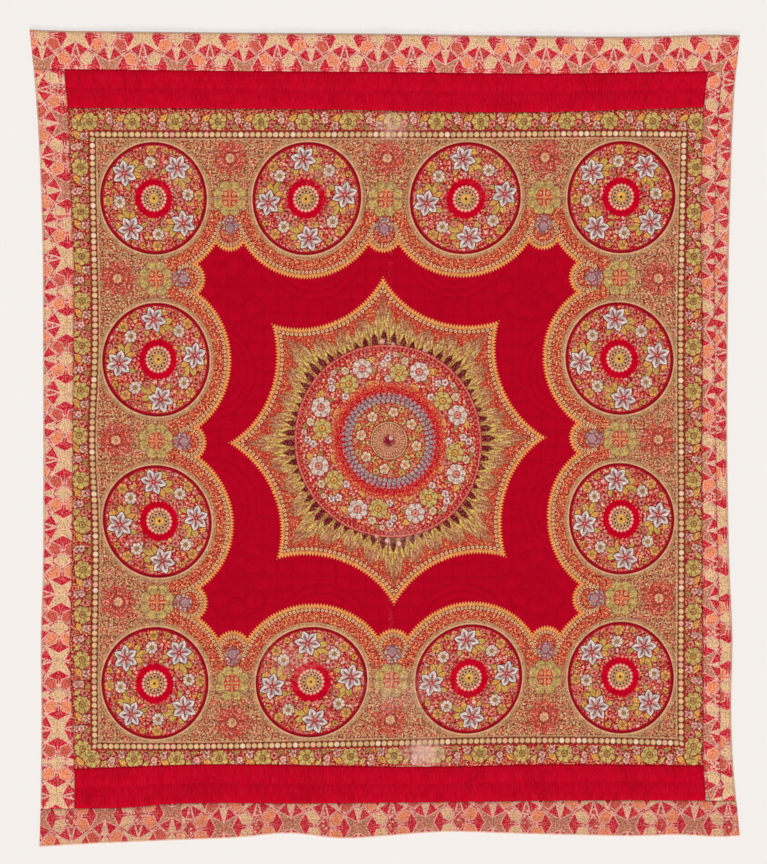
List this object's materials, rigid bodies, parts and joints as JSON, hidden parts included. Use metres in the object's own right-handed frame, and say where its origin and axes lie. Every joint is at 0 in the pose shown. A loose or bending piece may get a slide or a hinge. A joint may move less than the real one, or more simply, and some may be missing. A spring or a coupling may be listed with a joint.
{
  "type": "quilt",
  "caption": "Flat printed cotton quilt, slightly wider at the top, with a star medallion panel, plain red strips and a patchwork-print border, lying face up.",
  "frame": {"origin": "under the middle of the quilt, on its flat underside", "axes": "+Z out of the printed face, +Y to the quilt's top edge, +X to its right edge seen face on"},
  "size_m": [2.177, 2.504, 0.0094],
  "materials": {
    "panel_print": "printed plain-weave cotton in red, olive and tan, quilted, matt",
    "plain_red": "plain red cotton, quilted, matt",
    "border_print": "printed plain-weave cotton in red, orange, cream and tan, quilted, matt"
  },
  "bodies": {
    "root": {"centre_panel": "panel_print", "red_strip_top": "plain_red", "red_strip_bottom": "plain_red", "border_top": "border_print", "border_bottom": "border_print", "border_left": "border_print", "border_right_inner": "border_print", "border_right_outer": "border_print"}
  },
  "joints": []
}
